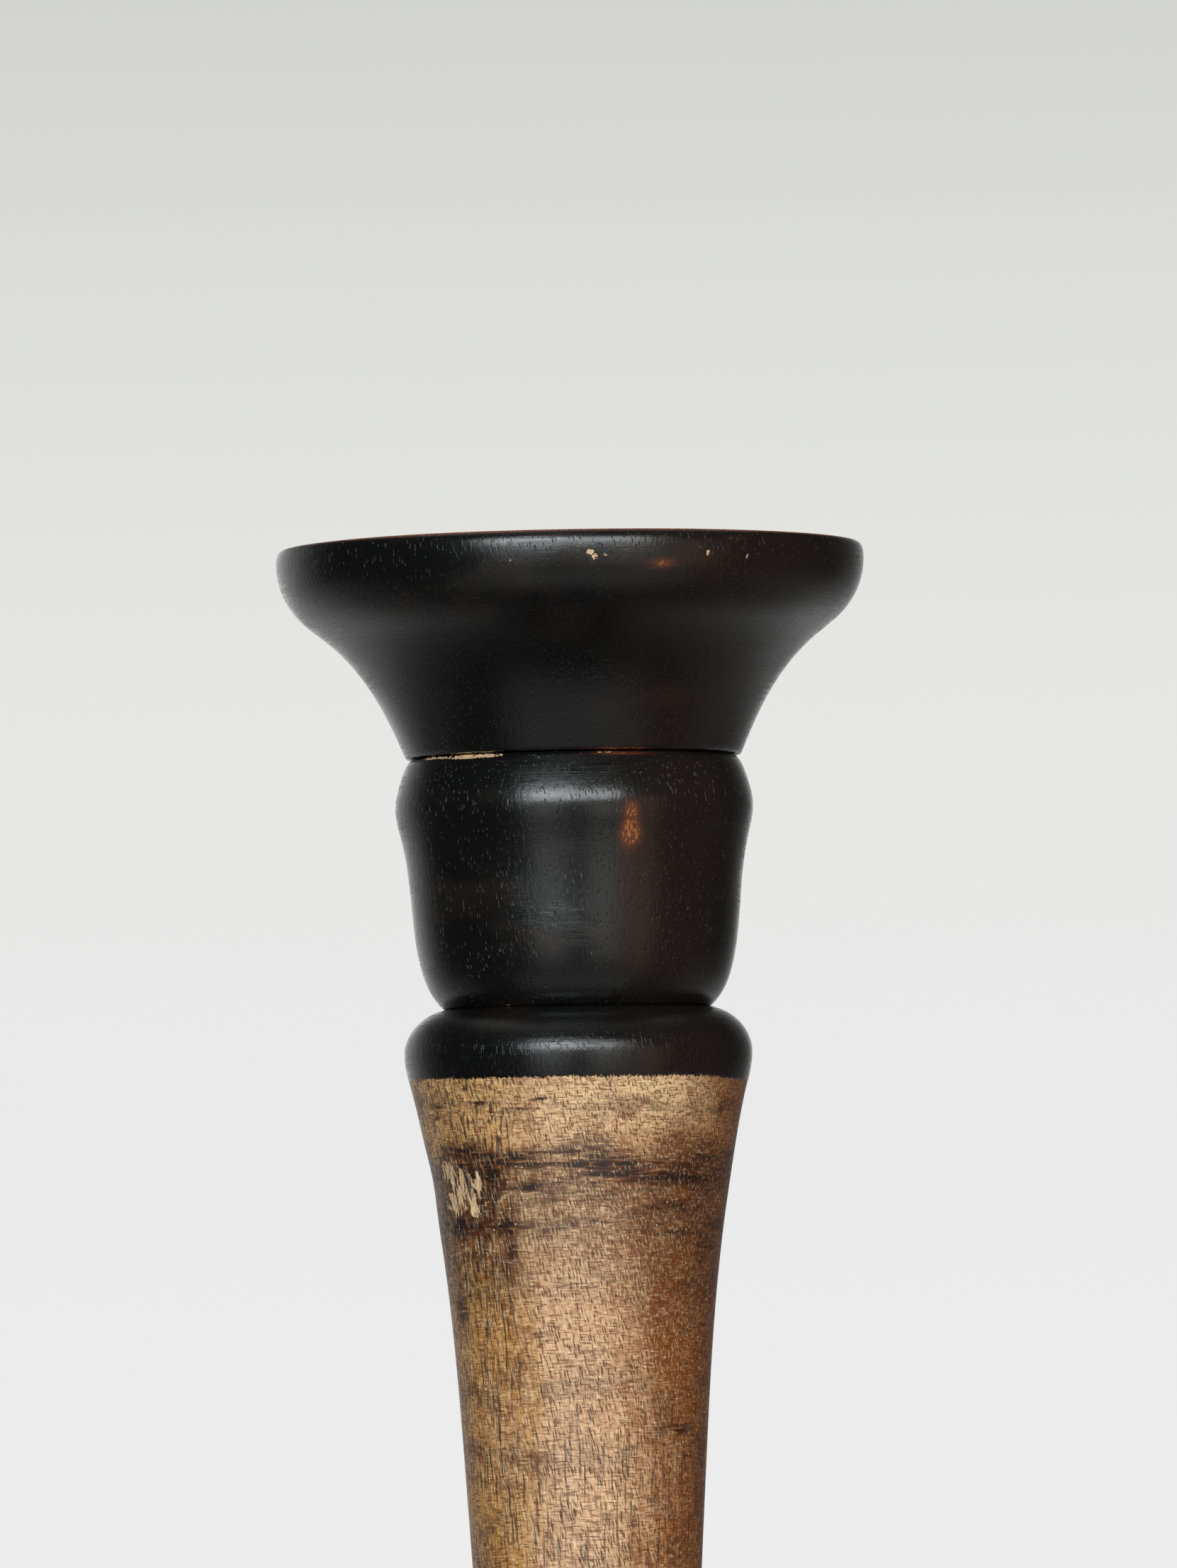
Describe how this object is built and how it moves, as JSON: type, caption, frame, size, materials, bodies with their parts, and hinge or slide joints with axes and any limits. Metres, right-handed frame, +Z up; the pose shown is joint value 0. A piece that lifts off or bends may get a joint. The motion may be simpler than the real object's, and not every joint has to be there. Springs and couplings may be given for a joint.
{
  "type": "dip pen holder",
  "caption": "Turned wooden pedestal holder: flared open cup with a lined well for standing dip pens, pear-shaped collar, long waisted stem with dark shoulder, spreading round foot.",
  "frame": {"origin": "centre of the face that the holder stands on", "axes": "+Z up along the turning axis, towards the cup; +X through the foot dowels"},
  "size_m": [0.104, 0.104, 0.3],
  "materials": {
    "ebonised_wood": "satin black stain and lacquer, worn at the edges",
    "brown_wood": "open-pored, smoked and waxed, the shoulder and the cuff painted black",
    "aged_brass": "aged, satin",
    "cork": "matt agglomerated cork",
    "zinc_steel": "zinc plated",
    "dowel_wood": "bare"
  },
  "bodies": {
    "stand": {"flared_cup": "ebonised_wood", "collar": "ebonised_wood", "stem": "brown_wood", "foot": "ebonised_wood", "tie_rod": "zinc_steel", "top_washer": "zinc_steel", "top_nut": "zinc_steel", "foot_washer": "zinc_steel", "foot_nut": "zinc_steel", "foot_dowels": "dowel_wood", "base_pad": "cork"},
    "liner": {"well_liner": "aged_brass", "well_pad": "cork"}
  },
  "joints": [
    {"name": "liner_lift", "type": "slide", "parent": "stand", "child": "liner", "axis": [0, 0, 1], "range_m": [0, 0.1]}
  ]
}
